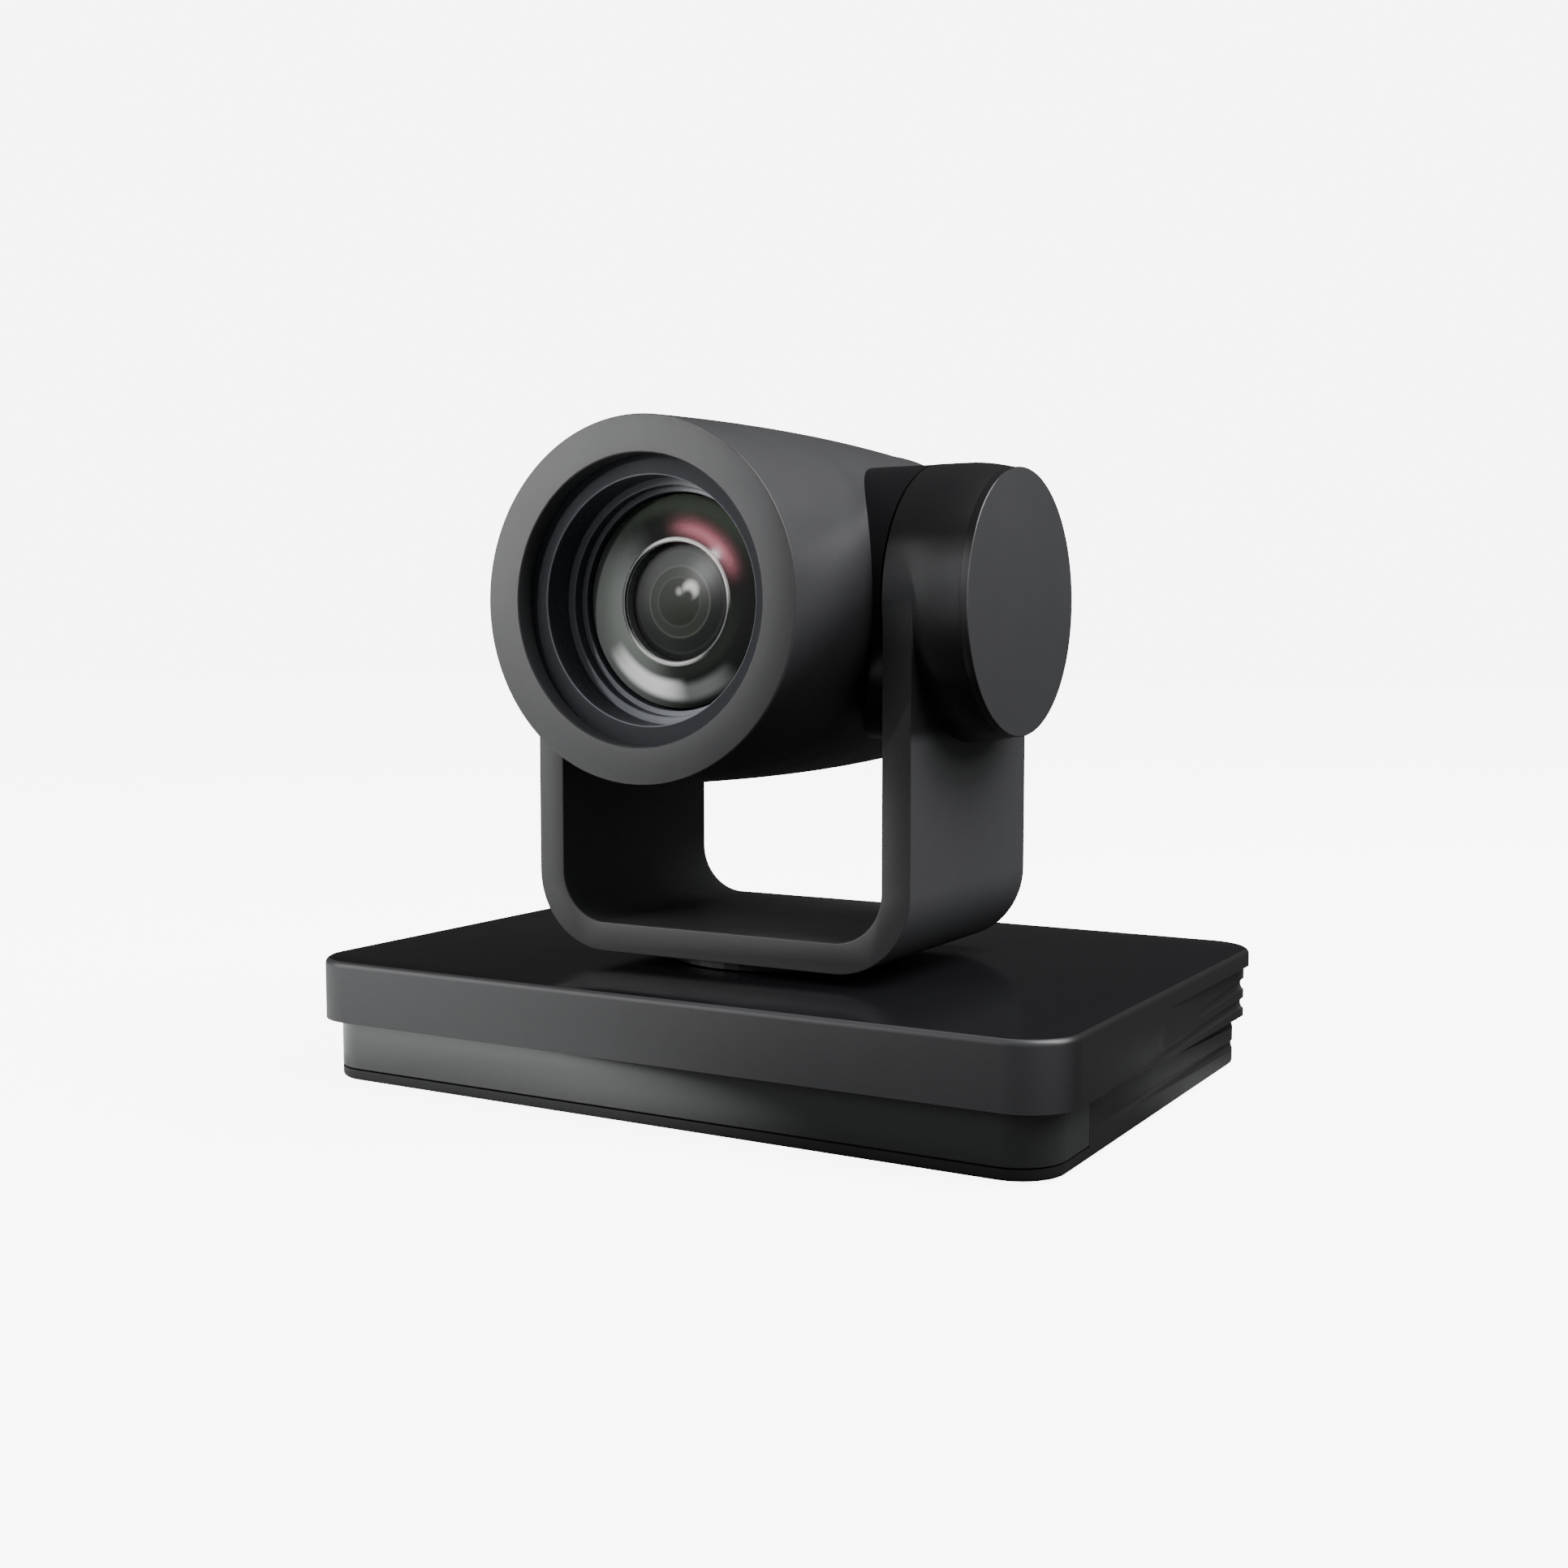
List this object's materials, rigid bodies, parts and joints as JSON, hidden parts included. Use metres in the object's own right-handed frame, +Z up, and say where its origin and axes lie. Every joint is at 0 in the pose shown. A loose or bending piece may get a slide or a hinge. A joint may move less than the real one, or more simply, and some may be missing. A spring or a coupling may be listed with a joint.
{
  "type": "pan-tilt-zoom conference camera",
  "caption": "Black desktop pan-tilt-zoom video camera: round zoom-lens head tilting in a U-shaped yoke that turns on a flat rectangular base with a smoked front window.",
  "frame": {"origin": "middle of the base's footprint, on the surface that the rubber feet stand on", "axes": "+Z up; the lens looks along -Y at rest; +X to the right seen from in front"},
  "size_m": [0.218, 0.1536, 0.1739],
  "materials": {
    "satin": "satin black moulded plastic",
    "gloss": "polished black plastic",
    "window": "smoked acrylic, polished",
    "hood": "matt black",
    "glass": "coated optical glass",
    "silver": "bright turned ring",
    "steel": "plain",
    "alloy": "plain",
    "brass": "turned",
    "rubber": "matt",
    "board": "solder resist",
    "nylon": "moulded"
  },
  "bodies": {
    "base": {"top_cover": "satin", "lower_shell": "satin", "front_window": "window", "rear_panel": "satin", "rubber_foot_1": "rubber", "rubber_foot_2": "rubber", "rubber_foot_3": "rubber", "rubber_foot_4": "rubber", "base_screw_1": "steel", "base_screw_2": "steel", "base_screw_3": "steel", "base_screw_4": "steel", "tripod_bush": "brass", "main_board": "board", "front_board": "board", "ir_receiver": "gloss", "status_light": "nylon", "hdmi_socket": "steel", "usb_socket": "steel", "lan_socket": "steel", "serial_socket": "hood", "dc_socket": "hood", "sdi_socket": "steel", "power_switch": "hood", "drive_chassis": "alloy", "pan_bearing_lower": "steel", "pan_bearing_upper": "steel", "pan_motor": "steel", "pan_belt": "rubber"},
    "pan_fork": {"yoke": "satin", "pan_hub": "hood", "pan_pulley": "nylon", "left_cap": "satin", "right_cap": "satin", "tilt_bearing_left": "steel", "tilt_bearing_right": "steel", "tilt_motor": "steel", "tilt_motor_bracket": "steel", "tilt_belt": "rubber"},
    "head": {"head_shell": "gloss", "front_bezel": "satin", "lens_hood": "hood", "front_glass": "glass", "lens_barrel": "hood", "iris_ring": "silver", "inner_lens": "glass", "zoom_housing": "hood", "guide_rod_1": "steel", "guide_rod_2": "steel", "sensor_board": "board", "rear_cover": "gloss", "left_trunnion": "alloy", "right_trunnion": "alloy", "tilt_pulley": "nylon"},
    "zoom_group": {"zoom_carriage": "hood"},
    "focus_group": {"focus_carriage": "hood"},
    "pan_motor_shaft": {"pan_pinion": "nylon"},
    "tilt_motor_shaft": {"tilt_pinion": "nylon"},
    "power_key": {"power_rocker": "gloss"}
  },
  "joints": [
    {"name": "pan", "type": "hinge", "parent": "base", "child": "pan_fork", "pos_m": [0, -0.0055, 0.0359], "axis": [0, 0, 1], "range_deg": [-170, 170]},
    {"name": "tilt", "type": "hinge", "parent": "pan_fork", "child": "head", "pos_m": [0, -0.0055, 0.1283], "axis": [-1, 0, 0], "range_deg": [-30, 90]},
    {"name": "zoom", "type": "slide", "parent": "head", "child": "zoom_group", "axis": [0, 1, 0], "range_m": [0, 0.018]},
    {"name": "focus", "type": "slide", "parent": "head", "child": "focus_group", "axis": [0, 1, 0], "range_m": [-0.004, 0.0018]},
    {"name": "pan_motor_turn", "type": "hinge", "parent": "base", "child": "pan_motor_shaft", "pos_m": [0.045, -0.0055, 0.024], "axis": [0, 0, 1], "range_deg": [-511, 511]},
    {"name": "tilt_motor_turn", "type": "hinge", "parent": "pan_fork", "child": "tilt_motor_shaft", "pos_m": [0.0559, -0.0055, 0.1083], "axis": [-1, 0, 0], "range_deg": [-86, 258]},
    {"name": "power", "type": "hinge", "parent": "base", "child": "power_key", "pos_m": [-0.076, 0.068, 0.015], "axis": [1, 0, 0], "range_deg": [0, 16]}
  ],
  "couplings": [
    {"joint": "pan_motor_turn", "follows": "pan", "ratio": 3},
    {"joint": "tilt_motor_turn", "follows": "tilt", "ratio": 2.8571}
  ]
}
